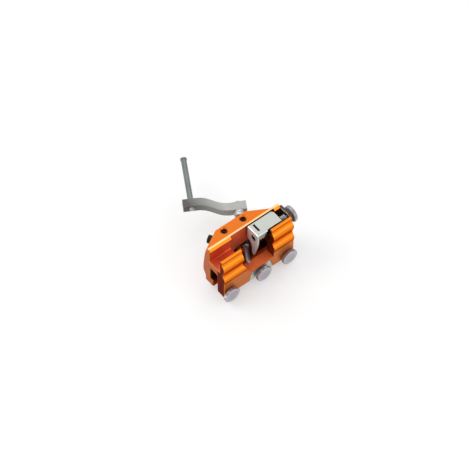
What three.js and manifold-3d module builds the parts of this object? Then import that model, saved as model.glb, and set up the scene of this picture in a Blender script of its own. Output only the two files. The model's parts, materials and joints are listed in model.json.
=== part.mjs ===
// Hand-cranked chain sharpener that straddles a saw bar: saddle body, two guide bushings at thirty degrees,
// a carbide cutter on a crank, three clamp screws and a sprung chain stop on an adjusting screw.
// Millimetres. +X runs along the bar, +Y away from the clamp knobs, +Z up. The origin lies on the face that
// the bar is clamped against, half way along the body and level with the clamp screws.
import * as THREE from 'three';
import { mergeVertices } from 'three/addons/utils/BufferGeometryUtils.js';
import Module from 'manifold-3d';

const wasm = await Module();
wasm.setup();

// Fits and mesh settings
const gap = 0.3;
const overrun = 4;
const mergeDistance = 1e-4;
const roundSides = 32;
const smallSides = 20;
const curveSteps = 5;
const edgeBreak = 0.5;

// Saddle body, heights measured up from the foot of its walls
const bodyLength = 86;
const slotWidth = 11.4;
const wallThickness = 10.8;
const landDepth = 4.9;
const landHeight = 10;
const landLead = 0.8;
const clampHeight = 4.5;
const slotHeight = 26.3;
const slotCorner = 1.5;
const footChamfer = 1;

// Outside of the front wall: two finger ridges above a flat foot
const flatHeight = 21.5;
const lowRidgeStep = 6.3;
const lowRidgeRise = 1.1;
const grooveStep = 10.6;
const grooveDepth = 1.7;
const highRidgeStep = 9.4;
const highRidgeRise = 0.3;
const shoulderStep = 4.6;
const shoulderDepth = 1.9;
const crestStep = 1.6;
const frontCrestDepth = 4.3;
const frontCrestWidth = 2.2;

// Valley between the front crest and the rear rib
const valleyHeight = 35;
const valleyFront = 9.8;
const valleyBack = 5.8;
const valleyCorner = 1.5;
const valleyDraft = 0.6;
const lipDrop = 2.4;
const lipFace = 0.8;
const lipUnderDrop = 5;
const lipReach = 2;
const ribFront = 6.1;
const ribWidth = 2.6;
const ribEdge = 0.5;

// Outside of the rear wall
const rearShoulderHeight = 41.5;
const rearShoulderDepth = 2.6;
const rearBulgeHeight = 23;
const rearBulgeFoot = 13.5;
const rearBulgeDepth = 0.4;
const rearWaistHeight = 7.5;
const rearWaistDepth = 3.5;
const rearFootDepth = 4;
const rearRibHeight = 47.6;
const rearRibDepth = 5.5;

// Guide block behind the rear wall, with its two facets square to the guide bores
const boreAngle = 30;
const boreHeight = 24.5;
const boreCrossX = -2.5;
const shelfHeight = 47;
const blockBackDepth = 8.7;
const blockFootHeight = 14;
const blockFootRise = 5;
const facetDistance = 31;

// Pocket, window and recess milled in the body
const pocketLeft = -17;
const pocketRight = 19;
const pocketBack = 6.4;
const pocketHeight = 17;
const reliefRight = 36;
const reliefHeight = 38;
const windowLeft = -18.7;
const windowRight = 18;
const sillHeight = 15.5;
const sillLeft = -11.5;
const windowSlopeHeight = 34;
const recessBottomHalf = 15;
const recessTopHalf = 11.4;
const recessHeight = 13;
const recessDepth = 6;

// Guide bushings and their set screws, placed by distance out along the bore from where the bores cross
const bushingRadius = 5;
const bushingHeadRadius = 6;
const bushingHeadThickness = 3.2;
const bushingNeckRadius = 4.4;
const bushingStart = 10.5;
const bushingEnd = 40;
const bushingBevel = 0.8;
const setScrewRadius = 2.6;
const setScrewDistance = 23.2;
const setScrewSink = 3.2;
const setScrewMouth = 1.3;
const socketAcross = 2.5;
const socketDepth = 2;
const socketSides = 6;

// Cutter: plain shank with a fluted carbide head
const shankRadius = 3.175;
const shankStart = 5.2;
const shankBevel = 0.6;
const shankOverhang = 1.2;
const burrRadius = 2.4;
const burrTip = -14;
const burrNose = 2.2;
const burrRings = 14;
const fluteCount = 12;
const fluteDepth = 0.4;
const fluteTurn = 0.55;
const noseSteps = 4;
const noseEnd = 0.5;

// Feed collar, crank arm and grip
const collarRadius = 5.6;
const collarBevel = 0.5;
const crankStart = 47;
const crankDepth = 9.8;
const crankThickness = 8.6;
const crankRadius = 45;
const crankOffset = 10.8;
const crankHubEnd = 7.8;
const crankHubRise = 1;
const crankGripEnd = 8.4;
const crankHubStraight = 8;
const crankBendEnd = 40;
const crankBendPull = 14.5;
const crankBendSteps = 10;
const crankEdge = 0.5;
const crankScrewRadius = 2;
const crankScrewLength = 3.6;
const pinRadius = 1.9;
const sleeveRadius = 2.9;
const sleeveLength = 50;
const pinHeadRadius = 3.6;
const pinHeadLength = 2;
const rivetRadius = 2.8;
const rivetHeight = 0.9;
const gripBevel = 0.4;

// Clamp screws, knobs and pads
const clampPlaces = { left: -36.5, middle: 3, right: 35 };
const clampScrewRadius = 3;
const knobRadius = 8.75;
const knobThickness = 4;
const knobTeeth = 36;
const knobToothDepth = 0.35;
const knobBevel = 0.6;
const knobGap = 1.5;
const knobSocketDepth = 2.6;
const padRadius = 3.6;
const padThickness = 2.5;
const padReach = 2.2;
const padSocketRadius = 1.8;
const padSocketDepth = 1.4;
const padCounterbore = 4.6;
const padBevel = 0.5;

// Chain stop, its carriage and the adjusting screw
const screwAxisDrop = 8;
const screwAxisForward = 4.7;
const adjusterRadius = 2;
const adjusterStart = 8;
const adjustKnobGap = 0.5;
const stopThickness = 1.6;
const stopProud = 0.5;
const stopLeft = 2.8;
const stopRight = 33.8;
const stopFront = 9.8;
const stopWindowFront = 11;
const stopStepX = 15.2;
const stopBack = 4.6;
const stopCorner = 2.5;
const stopLipDrop = 3.6;
const slitX = 8.6;
const slitWidth = 2.2;
const slitFront = 6.6;
const slitBack = 3;
const toeHeight = 18.6;
const toeFront = 5.6;
const toeBack = 2.4;
const pawlKneeHeight = 28;
const journalRadius = 3.1;
const earRadius = 5.2;
const barrelRadius = 4.1;
const barrelStart = 4.8;
const barrelEnd = 31.8;
const slideStart = 20;
const slideEnd = 31;
const slideThickness = 3;
const slideNeckHalf = 2.6;
const clipRadius = 4.6;
const clipThickness = 0.8;
const clipMouth = 1.6;
const bracketThickness = 3.5;
const bracketFootHeight = 27.2;
const bracketShoulderHeight = 34;
const bracketFootFront = 8.6;
const bracketBack = 7.4;
const bracketBackHeight = 50;
const bracketSlope = Math.PI / 3;
const bracketHeadRadius = 6;
const bracketScrewHeight = 30.6;
const bracketScrewPlaces = { front: -5.8, rear: 0.6 };
const bracketScrewRadius = 1.5;
const bracketScrewHeadRadius = 2.6;
const bracketScrewHeadHeight = 1.6;
const bracketScrewLength = 9;

// Wound springs: curls of eight steps with a five-sided wire
const stepsPerCurl = 8;
const wireSides = 5;
const adjusterSpringWire = 0.4;
const adjusterSpringRadius = 4.1;
const adjusterSpringCurls = 4;
const stopSpringWire = 0.4;
const stopSpringRadius = 4.85;
const stopSpringCurls = 5;
const stopSpringStart = 6.2;
const stopSpringPitch = 1.35;
const stopSpringUpLeg = 4.2;
const stopSpringDownLeg = 7;
const leastWireGap = 0.4;
const wireSideShares = [0.31, 0.52, 0.79];

// Places that follow from the sizes above
const footZ = -clampHeight;
const up = (height) => footZ + height;
const rearInner = landDepth;
const rearOuter = rearInner + wallThickness;
const frontInner = rearInner - slotWidth;
const frontOuter = frontInner - wallThickness;
const slotMiddle = (rearInner + frontInner) / 2;
const valleyFrontFoot = slotMiddle - valleyFront;
const halfLength = bodyLength / 2;
const lowRidgeHeight = flatHeight + lowRidgeStep;
const grooveHeight = lowRidgeHeight + grooveStep;
const highRidgeHeight = grooveHeight + highRidgeStep;
const shoulderHeight = highRidgeHeight + shoulderStep;
const crestHeight = shoulderHeight + crestStep;
const crestZ = up(crestHeight);
const screwAxisHeight = crestHeight - screwAxisDrop;
const boreZ = up(boreHeight);
const blockBack = rearOuter + blockBackDepth;
const screwAxisY = -screwAxisForward;
const screwAxisZ = up(screwAxisHeight);
const bracketFace = halfLength + gap + bracketThickness;
const adjustKnobPlace = bracketFace + adjustKnobGap;
const alongX = new THREE.Vector3(1, 0, 0);
const alongY = new THREE.Vector3(0, 1, 0);
const alongZ = new THREE.Vector3(0, 0, 1);
const angle = THREE.MathUtils.degToRad(boreAngle);
const sides = { right: 1, left: -1 };

// Directions of a guide bore: out along it, and level across it
const boreAxis = (side) => new THREE.Vector3(side * Math.sin(angle), Math.cos(angle), 0);
const boreAcross = (side) => new THREE.Vector3(Math.cos(angle), -side * Math.sin(angle), 0);
const borePoint = (side, distance, across = 0, rise = 0) => new THREE.Vector3(boreCrossX, slotMiddle, boreZ)
  .addScaledVector(boreAxis(side), distance)
  .addScaledVector(boreAcross(side), across)
  .addScaledVector(alongZ, rise);

// Materials
function paint(color, roughness, metalness) {
  return new THREE.MeshStandardMaterial({ color, roughness, metalness });
}

const anodised = 0xe2601a;
const steelGrey = 0xb4b6b8;
const brightSteel = 0xd2d4d6;
const crankGrey = 0x8f9191;
const darkSteel = 0x3c3d40;
const springSteel = 0xc8c8c4;
const carbideGrey = 0x9a9b9e;
const brassTone = 0xb99a58;

// Turns any closed three.js geometry into a solid with its faces pointing out
function solid(geometry) {
  const bare = geometry.clone();
  bare.deleteAttribute('normal');
  bare.deleteAttribute('uv');
  const merged = mergeVertices(bare, mergeDistance);
  const points = merged.attributes.position;
  const corners = [];
  let volume = 0;
  const a = new THREE.Vector3();
  const b = new THREE.Vector3();
  const c = new THREE.Vector3();
  for (let i = 0; i < merged.index.count; i += 3) {
    const triangle = [0, 1, 2].map((k) => merged.index.getX(i + k));
    if (new Set(triangle).size === 3) {
      corners.push(...triangle);
      a.fromBufferAttribute(points, triangle[0]);
      b.fromBufferAttribute(points, triangle[1]);
      c.fromBufferAttribute(points, triangle[2]);
      volume += a.dot(b.cross(c));
    }
  }
  if (volume < 0) {
    corners.reverse();
  }
  return new wasm.Manifold(new wasm.Mesh({
    numProp: 3,
    vertProperties: new Float32Array(points.array),
    triVerts: new Uint32Array(corners),
  }));
}

// Makes the named mesh of a finished solid
function part(name, shape, material) {
  const result = shape.getMesh();
  const geometry = new THREE.BufferGeometry();
  geometry.setAttribute('position', new THREE.BufferAttribute(new Float32Array(result.vertProperties), 3));
  geometry.setIndex(new THREE.BufferAttribute(new Uint32Array(result.triVerts), 1));
  geometry.computeVertexNormals();
  const mesh = new THREE.Mesh(geometry, material);
  mesh.name = name;
  return mesh;
}

const unite = (shapes) => shapes.reduce((sum, shape) => sum.add(shape));
const cut = (shape, tools) => tools.reduce((rest, tool) => rest.subtract(tool), shape);
const outline = (pairs) => new THREE.Shape(pairs.map(([x, y]) => new THREE.Vector2(x, y)));

// Extrudes an outline that is drawn in the plane of two axes and starts at the given point
function prism(shape, depth, across, upward, start, bevel = 0, steps = curveSteps) {
  const geometry = new THREE.ExtrudeGeometry(shape, {
    depth: depth - 2 * bevel,
    curveSegments: steps,
    bevelEnabled: bevel > 0,
    bevelThickness: bevel,
    bevelSize: bevel,
    bevelOffset: -bevel,
    bevelSegments: 1,
  });
  geometry.translate(0, 0, bevel);
  const outward = new THREE.Vector3().crossVectors(across, upward);
  geometry.applyMatrix4(new THREE.Matrix4().makeBasis(across, upward, outward).setPosition(start));
  return solid(geometry);
}

// Revolves a profile of [distance along, radius] pairs about an axis from a point
function turned(profile, axis, start, facets = roundSides) {
  const points = profile.map(([along, radius]) => new THREE.Vector2(radius, along));
  const geometry = new THREE.LatheGeometry(points, facets);
  geometry.applyQuaternion(new THREE.Quaternion().setFromUnitVectors(alongY, axis));
  geometry.translate(start.x, start.y, start.z);
  return solid(geometry);
}

// Plain rod between two distances along an axis
function rod(axis, origin, from, to, radius, facets = roundSides) {
  return turned([[from, 0], [from, radius], [to, radius], [to, 0]], axis, origin, facets);
}

// Rod with broken edges at both ends
function pinned(axis, origin, from, to, radius, bevel, facets = roundSides) {
  const profile = [
    [from, 0], [from, radius - bevel], [from + bevel, radius],
    [to - bevel, radius], [to, radius - bevel], [to, 0],
  ];
  return turned(profile, axis, origin, facets);
}

function box(low, high) {
  const size = high.clone().sub(low);
  const geometry = new THREE.BoxGeometry(size.x, size.y, size.z);
  const centre = low.clone().add(high).multiplyScalar(0.5);
  geometry.translate(centre.x, centre.y, centre.z);
  return solid(geometry);
}

// Section of the saddle across the bar: slot, clamping land, finger ridges, valley and rear rib
function saddleSection() {
  const at = (y, height) => new THREE.Vector2(y, up(height));
  const shape = new THREE.Shape();
  const line = (y, height) => shape.lineTo(y, up(height));
  const crestFront = frontOuter + frontCrestDepth;
  const crestBack = crestFront + frontCrestWidth;
  shape.moveTo(frontInner, up(0));
  line(frontInner, slotHeight - slotCorner);
  line(frontInner + slotCorner, slotHeight);
  line(rearInner - slotCorner, slotHeight);
  line(rearInner, slotHeight - slotCorner);
  line(rearInner, landHeight);
  line(0, landHeight);
  line(0, landLead);
  line(landLead, 0);
  line(rearOuter - rearFootDepth, 0);
  line(rearOuter - rearWaistDepth, rearWaistHeight);
  shape.splineThru([
    at(rearOuter - rearBulgeDepth, rearBulgeFoot),
    at(rearOuter - rearBulgeDepth, rearBulgeHeight),
    at(rearOuter - rearShoulderDepth, rearShoulderHeight),
  ]);
  line(rearOuter - rearRibDepth, rearRibHeight);
  line(ribFront + ribWidth, crestHeight - ribEdge);
  line(ribFront + ribWidth - ribEdge, crestHeight);
  line(ribFront, crestHeight);
  line(ribFront - lipReach, crestHeight - lipDrop);
  line(ribFront - lipReach, crestHeight - lipDrop - lipFace);
  line(valleyBack, crestHeight - lipUnderDrop);
  line(valleyBack, valleyHeight + valleyCorner);
  shape.quadraticCurveTo(valleyBack, up(valleyHeight), valleyBack - valleyCorner, up(valleyHeight));
  line(valleyFrontFoot + valleyCorner, valleyHeight);
  const floorFront = at(valleyFrontFoot, valleyHeight);
  const floorEnd = at(valleyFrontFoot, valleyHeight + valleyCorner);
  shape.quadraticCurveTo(floorFront.x, floorFront.y, floorEnd.x, floorEnd.y);
  line(crestBack, crestHeight - valleyDraft);
  line(crestBack - valleyDraft, crestHeight);
  line(crestFront, crestHeight);
  shape.splineThru([
    at(frontOuter + shoulderDepth, shoulderHeight),
    at(frontOuter - highRidgeRise, highRidgeHeight),
    at(frontOuter + grooveDepth, grooveHeight),
    at(frontOuter - lowRidgeRise, lowRidgeHeight),
    at(frontOuter, flatHeight),
  ]);
  line(frontOuter, footChamfer);
  line(frontOuter + footChamfer, 0);
  return shape;
}

// Block that carries the bushings, cut to a trapezium in plan by the two facets
function guideBlock() {
  const section = outline([
    [valleyBack + gap, up(blockFootHeight)], [rearOuter, up(blockFootHeight)],
    [blockBack, up(blockFootHeight + blockFootRise)], [blockBack, up(shelfHeight)],
    [valleyBack + gap, up(shelfHeight)],
  ]);
  const whole = prism(section, bodyLength, alongY, alongZ, new THREE.Vector3(-halfLength, 0, 0));
  const facets = Object.values(sides).map((side) => {
    const flat = outline([
      [-bodyLength, 0], [bodyLength, 0], [bodyLength, bodyLength], [-bodyLength, bodyLength],
    ]);
    const place = borePoint(side, facetDistance, 0, -halfLength);
    return prism(flat, bodyLength, boreAcross(side), boreAxis(side), place);
  });
  return cut(whole, facets);
}

// Opening in the front wall that shows the chain stop, its lower left corner sloped to clear the cutter
function frontWindow() {
  const shape = outline([
    [windowLeft, crestZ + overrun], [windowLeft, up(windowSlopeHeight)], [sillLeft, up(sillHeight)],
    [windowRight, up(sillHeight)], [windowRight, crestZ + overrun],
  ]);
  const depth = wallThickness + 2 * overrun;
  return prism(shape, depth, alongX, alongZ, new THREE.Vector3(0, frontInner + overrun, 0));
}

// Trapezium for the steel insert in the foot of the front wall
function insertOutline(inset) {
  const middle = clampPlaces.middle;
  return outline([
    [middle - recessBottomHalf + inset, footZ], [middle + recessBottomHalf - inset, footZ],
    [middle + recessTopHalf - inset, up(recessHeight - inset)],
    [middle - recessTopHalf + inset, up(recessHeight - inset)],
  ]);
}

function bodySolid() {
  const leftEnd = new THREE.Vector3(-halfLength, 0, 0);
  const saddle = prism(saddleSection(), bodyLength, alongY, alongZ, leftEnd, edgeBreak);
  const whole = saddle.add(guideBlock());
  const shelfRise = shelfHeight - boreHeight;
  const holeRadius = setScrewRadius + gap;
  const mouthRadius = holeRadius + setScrewMouth + gap;
  const boreRadius = bushingRadius + gap;
  const bores = Object.values(sides).flatMap((side) => [
    rod(boreAxis(side), borePoint(side, 0), bushingStart - boreRadius, bodyLength, boreRadius),
    turned([
      [bushingRadius / 2, 0], [bushingRadius / 2, holeRadius], [shelfRise - setScrewMouth, holeRadius],
      [shelfRise + gap, mouthRadius], [shelfRise + overrun, mouthRadius], [shelfRise + overrun, 0],
    ], alongZ, borePoint(side, setScrewDistance), smallSides),
  ]);
  const pocket = box(
    new THREE.Vector3(pocketLeft, frontInner, up(pocketHeight)),
    new THREE.Vector3(pocketRight, pocketBack, crestZ + overrun),
  );
  const relief = box(
    new THREE.Vector3(pocketLeft, slotMiddle, up(reliefHeight)),
    new THREE.Vector3(reliefRight, pocketBack, crestZ + overrun),
  );
  const recessFloor = new THREE.Vector3(0, frontOuter + recessDepth, 0);
  const recess = prism(insertOutline(0), recessDepth + overrun, alongX, alongZ, recessFloor);
  const recessMouth = box(
    new THREE.Vector3(clampPlaces.middle - recessBottomHalf, frontOuter - overrun, footZ - overrun),
    new THREE.Vector3(clampPlaces.middle + recessBottomHalf, frontOuter + recessDepth, footZ + gap),
  );
  const clampHoles = Object.values(clampPlaces).flatMap((x) => {
    const place = new THREE.Vector3(x, 0, 0);
    return [
      rod(alongY, place, frontOuter - overrun, frontInner + overrun, clampScrewRadius + gap),
      rod(alongY, place, frontInner - padCounterbore, frontInner + overrun, padRadius + gap),
    ];
  });
  const bracketHoles = Object.values(bracketScrewPlaces).map((y) => rod(
    alongX,
    new THREE.Vector3(halfLength, y, up(bracketScrewHeight)),
    -bracketScrewLength,
    overrun,
    bracketScrewRadius + gap,
    smallSides,
  ));
  return cut(whole, [
    ...bores, pocket, relief, frontWindow(), recess, recessMouth, ...clampHoles, ...bracketHoles,
  ]);
}

function body() {
  return part('body', bodySolid(), paint(anodised, 0.38, 0.75));
}

// Guide bushing: plain sleeve with a larger head against the block and a slim neck beyond it
function bushing(side) {
  const bore = shankRadius + gap;
  const head = facetDistance + gap;
  const headEnd = head + bushingHeadThickness;
  const profile = [
    [bushingStart, bore], [bushingStart, bushingRadius - bushingBevel],
    [bushingStart + bushingBevel, bushingRadius],
    [head, bushingRadius], [head, bushingHeadRadius], [headEnd - bushingBevel, bushingHeadRadius],
    [headEnd, bushingHeadRadius - bushingBevel], [headEnd, bushingNeckRadius],
    [bushingEnd, bushingNeckRadius], [bushingEnd, bore], [bushingStart, bore],
  ];
  return turned(profile, boreAxis(side), borePoint(side, 0));
}

// Hexagon socket cut into the end of a screw
function socket(axis, mouth, across) {
  return rod(axis, mouth, -socketDepth, overrun, across / 2, socketSides);
}

function bushings() {
  return Object.entries(sides).flatMap(([name, side]) => {
    const top = shelfHeight - boreHeight - setScrewSink;
    const place = borePoint(side, setScrewDistance);
    const screw = pinned(alongZ, place, bushingRadius + gap, top, setScrewRadius, gap, smallSides);
    const mouth = place.clone().addScaledVector(alongZ, top);
    const drilled = cut(screw, [socket(alongZ, mouth, socketAcross)]);
    return [
      part(`guide_bushing_${name}`, bushing(side), paint(darkSteel, 0.35, 0.9)),
      part(`bushing_set_screw_${name}`, drilled, paint(darkSteel, 0.5, 0.8)),
    ];
  });
}

// Carbide head: a star section of rounded flutes that turns as it runs back from its nose
function burrGeometry() {
  const points = [];
  const faces = [];
  const count = fluteCount * 2;
  const length = shankStart - gap - burrTip;
  const stations = [];
  for (let i = 0; i < noseSteps; i += 1) {
    const share = i / noseSteps;
    const scale = Math.sqrt(1 - (1 - share) ** 2 * (1 - noseEnd ** 2));
    stations.push([burrNose * share, Math.max(scale, noseEnd)]);
  }
  for (let i = 0; i <= burrRings; i += 1) {
    stations.push([burrNose + (length - burrNose) * (i / burrRings), 1]);
  }
  stations.forEach(([along, scale]) => {
    for (let k = 0; k < count; k += 1) {
      const turn = (k / count + fluteTurn * (along / length)) * Math.PI * 2;
      const radius = (burrRadius - (k % 2) * fluteDepth) * scale;
      points.push(radius * Math.cos(turn), burrTip + along, radius * Math.sin(turn));
    }
  });
  const nose = points.length / 3;
  points.push(0, burrTip, 0);
  const tail = nose + 1;
  points.push(0, burrTip + length, 0);
  for (let ring = 0; ring < stations.length - 1; ring += 1) {
    for (let k = 0; k < count; k += 1) {
      const here = ring * count + k;
      const next = ring * count + (k + 1) % count;
      faces.push(here, here + count, next, next, here + count, next + count);
    }
  }
  const last = (stations.length - 1) * count;
  for (let k = 0; k < count; k += 1) {
    const next = (k + 1) % count;
    faces.push(nose, k, next);
    faces.push(tail, last + next, last + k);
  }
  const geometry = new THREE.BufferGeometry();
  geometry.setAttribute('position', new THREE.BufferAttribute(new Float32Array(points), 3));
  geometry.setIndex(faces);
  return geometry;
}

function cutter() {
  const axis = boreAxis(sides.right);
  const origin = borePoint(sides.right, 0);
  const end = crankStart + crankDepth + crankHubRise + shankOverhang;
  const shank = turned([
    [shankStart, 0], [shankStart, burrRadius - fluteDepth], [shankStart + shankBevel, shankRadius],
    [end - shankBevel, shankRadius], [end, shankRadius - shankBevel], [end, 0],
  ], axis, origin);
  const burr = burrGeometry();
  burr.applyQuaternion(new THREE.Quaternion().setFromUnitVectors(alongY, axis));
  burr.translate(origin.x, origin.y, origin.z);
  const bore = shankRadius + gap;
  const from = bushingEnd + gap;
  const to = crankStart - gap;
  const collar = turned([
    [from, bore], [from, collarRadius - collarBevel], [from + collarBevel, collarRadius],
    [to - collarBevel, collarRadius], [to, collarRadius - collarBevel], [to, bore], [from, bore],
  ], axis, origin);
  return [
    part('cutter_shank', shank, paint(steelGrey, 0.3, 0.95)),
    part('cutter_burr', solid(burr), paint(carbideGrey, 0.42, 0.9)),
    part('feed_collar', collar, paint(brightSteel, 0.4, 0.85)),
  ];
}

// Crank arm: flat bar swept out in a soft double bend between the hub and the grip
function crankArm() {
  const axis = boreAxis(sides.right);
  const across = boreAcross(sides.right);
  const near = crankStart;
  const far = crankStart + crankDepth;
  const gripEnd = -crankRadius - crankGripEnd;
  const hubPull = -crankHubStraight - crankBendPull;
  const gripPull = -crankBendEnd + crankBendPull;
  const shape = new THREE.Shape();
  shape.moveTo(crankHubEnd, near);
  shape.lineTo(crankHubEnd, far + crankHubRise);
  shape.lineTo(-crankHubStraight, far);
  shape.bezierCurveTo(hubPull, far, gripPull, far + crankOffset, -crankBendEnd, far + crankOffset);
  shape.lineTo(gripEnd, far + crankOffset);
  shape.lineTo(gripEnd, near + crankOffset);
  shape.lineTo(-crankBendEnd, near + crankOffset);
  shape.bezierCurveTo(gripPull, near + crankOffset, hubPull, near, -crankHubStraight, near);
  const start = borePoint(sides.right, 0, 0, -crankThickness / 2);
  const bar = prism(shape, crankThickness, across, axis, start, crankEdge, crankBendSteps);
  const origin = borePoint(sides.right, 0);
  const gripOrigin = borePoint(sides.right, 0, -crankRadius);
  const hub = borePoint(sides.right, crankStart + crankDepth / 2);
  const beyond = far + crankOffset + overrun;
  return cut(bar, [
    rod(axis, origin, near - overrun, far + overrun, shankRadius + gap),
    rod(axis, gripOrigin, near, beyond, pinRadius + gap, smallSides),
    rod(across, hub, 0, crankHubEnd + overrun, crankScrewRadius + gap, smallSides),
  ]);
}

function crank() {
  const axis = boreAxis(sides.right);
  const across = boreAcross(sides.right);
  const gripOrigin = borePoint(sides.right, 0, -crankRadius);
  const near = crankStart + crankOffset;
  const sleeveStart = near + crankDepth + gap;
  const sleeveEnd = sleeveStart + sleeveLength;
  const headStart = sleeveEnd + gap;
  const rivetFace = near - gap;
  const pin = turned([
    [rivetFace - rivetHeight, 0], [rivetFace - rivetHeight, rivetRadius - gripBevel],
    [rivetFace, rivetRadius], [rivetFace, pinRadius], [headStart, pinRadius], [headStart, pinHeadRadius],
    [headStart + pinHeadLength - gripBevel, pinHeadRadius],
    [headStart + pinHeadLength, pinHeadRadius - gripBevel * 2], [headStart + pinHeadLength, 0],
  ], axis, gripOrigin, smallSides);
  const bore = pinRadius + gap;
  const sleeve = turned([
    [sleeveStart, bore], [sleeveStart, sleeveRadius - gripBevel], [sleeveStart + gripBevel, sleeveRadius],
    [sleeveEnd - gripBevel, sleeveRadius], [sleeveEnd, sleeveRadius - gripBevel], [sleeveEnd, bore],
    [sleeveStart, bore],
  ], axis, gripOrigin, smallSides);
  const screwPlace = borePoint(sides.right, crankStart + crankDepth / 2);
  const screwStart = shankRadius + gap;
  const screwEnd = screwStart + crankScrewLength;
  const screw = pinned(across, screwPlace, screwStart, screwEnd, crankScrewRadius, gap, smallSides);
  const mouth = screwPlace.clone().addScaledVector(across, screwEnd);
  const drilled = cut(screw, [socket(across, mouth, crankScrewRadius)]);
  return [
    part('crank_arm', crankArm(), paint(crankGrey, 0.45, 0.85)),
    part('crank_set_screw', drilled, paint(darkSteel, 0.5, 0.8)),
    part('grip_pin', pin, paint(steelGrey, 0.35, 0.9)),
    part('grip_sleeve', sleeve, paint(steelGrey, 0.4, 0.9)),
  ];
}

// Knurled disc with a blind socket for the end of its screw
function knurledKnob(axis, across, upward, face, screwRadius) {
  const shape = new THREE.Shape();
  const count = knobTeeth * 2;
  for (let k = 0; k < count; k += 1) {
    const turn = (k / count) * Math.PI * 2;
    const radius = knobRadius - (k % 2) * knobToothDepth;
    const x = radius * Math.cos(turn);
    const y = radius * Math.sin(turn);
    if (k === 0) {
      shape.moveTo(x, y);
    } else {
      shape.lineTo(x, y);
    }
  }
  const disc = prism(shape, knobThickness, across, upward, face, knobBevel);
  const floor = knobThickness - knobSocketDepth;
  return cut(disc, [rod(axis, face, floor, knobThickness + overrun, screwRadius + gap)]);
}

function clamps() {
  const inner = frontOuter - knobGap;
  const outer = inner - knobThickness;
  const tip = -padReach;
  const padBack = tip - padThickness;
  return Object.entries(clampPlaces).flatMap(([name, x]) => {
    const face = new THREE.Vector3(x, outer, 0);
    const origin = new THREE.Vector3(x, 0, 0);
    const knob = knurledKnob(alongY, alongX.clone().negate(), alongZ, face, clampScrewRadius);
    const screw = turned([
      [inner - knobSocketDepth + gap, 0], [inner - knobSocketDepth + gap, clampScrewRadius],
      [padBack - gap, clampScrewRadius], [padBack - gap, padSocketRadius - gap],
      [padBack + padSocketDepth - gap, padSocketRadius - gap], [padBack + padSocketDepth - gap, 0],
    ], alongY, origin, smallSides);
    const pad = cut(
      pinned(alongY, origin, padBack, tip, padRadius, padBevel, smallSides),
      [rod(alongY, origin, padBack - overrun, padBack + padSocketDepth, padSocketRadius, smallSides)],
    );
    return [
      part(`clamp_screw_${name}`, screw, paint(steelGrey, 0.35, 0.9)),
      part(`clamp_knob_${name}`, knob, paint(brightSteel, 0.4, 0.85)),
      part(`clamp_pad_${name}`, pad, paint(brassTone, 0.4, 0.85)),
    ];
  });
}

function screwInsert() {
  const depth = recessDepth - 2 * gap;
  const place = new THREE.Vector3(0, frontOuter + recessDepth - gap, 0);
  const plate = prism(insertOutline(gap), depth, alongX, alongZ, place, gap);
  const middle = new THREE.Vector3(clampPlaces.middle, 0, 0);
  const through = frontOuter + recessDepth + overrun;
  const hole = rod(alongY, middle, frontOuter - overrun, through, clampScrewRadius + gap);
  return part('screw_insert', cut(plate, [hole]), paint(brightSteel, 0.45, 0.8));
}

// Chain stop: folded sheet with a thumb plate, a front lip, a pawl at its left and an ear at its right
function chainStop() {
  const top = crestZ + stopProud;
  const under = top - stopThickness;
  const plateShape = outline([
    [stopLeft, -stopWindowFront], [stopStepX, -stopWindowFront], [stopStepX, -stopFront],
    [stopRight, -stopFront], [stopRight, stopBack - stopCorner], [stopRight - stopCorner, stopBack],
    [stopLeft, stopBack],
  ]);
  const plate = prism(plateShape, stopThickness, alongX, alongY, new THREE.Vector3(0, 0, under));
  const lip = box(
    new THREE.Vector3(stopLeft, -stopWindowFront, under - stopLipDrop),
    new THREE.Vector3(stopStepX - stopThickness, -stopWindowFront + stopThickness, under + gap),
  );
  const pawlShape = new THREE.Shape();
  pawlShape.moveTo(-stopWindowFront, under + gap);
  pawlShape.lineTo(-stopWindowFront - gap, up(screwAxisHeight));
  const pawlWaist = up(windowSlopeHeight);
  pawlShape.quadraticCurveTo(-stopWindowFront, pawlWaist, -toeFront - gap, up(toeHeight + stopCorner));
  pawlShape.lineTo(-toeFront, up(toeHeight));
  pawlShape.lineTo(-toeBack, up(toeHeight));
  pawlShape.lineTo(-toeBack, up(pawlKneeHeight));
  pawlShape.quadraticCurveTo(-toeBack, pawlWaist, stopBack, up(reliefHeight));
  pawlShape.lineTo(stopBack, under + gap);
  const pawl = prism(pawlShape, stopThickness, alongY, alongZ, new THREE.Vector3(stopLeft, 0, 0));
  const earShape = new THREE.Shape();
  earShape.absarc(screwAxisY, screwAxisZ, earRadius, Math.PI, 0);
  earShape.lineTo(screwAxisY + earRadius, under + gap);
  earShape.lineTo(screwAxisY - earRadius, under + gap);
  const earPlace = new THREE.Vector3(stopRight - stopThickness, 0, 0);
  const ear = prism(earShape, stopThickness, alongY, alongZ, earPlace);
  const axisPlace = new THREE.Vector3(0, screwAxisY, screwAxisZ);
  const pivot = rod(alongX, axisPlace, stopLeft - overrun, stopRight + overrun, journalRadius + gap);
  const slit = box(
    new THREE.Vector3(slitX - slitWidth / 2, -slitFront, under - overrun),
    new THREE.Vector3(slitX + slitWidth / 2, slitBack, top + overrun),
  );
  const folded = cut(unite([plate, lip, pawl, ear]), [pivot, slit]);
  return part('chain_stop', folded, paint(brightSteel, 0.35, 0.9));
}

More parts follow.
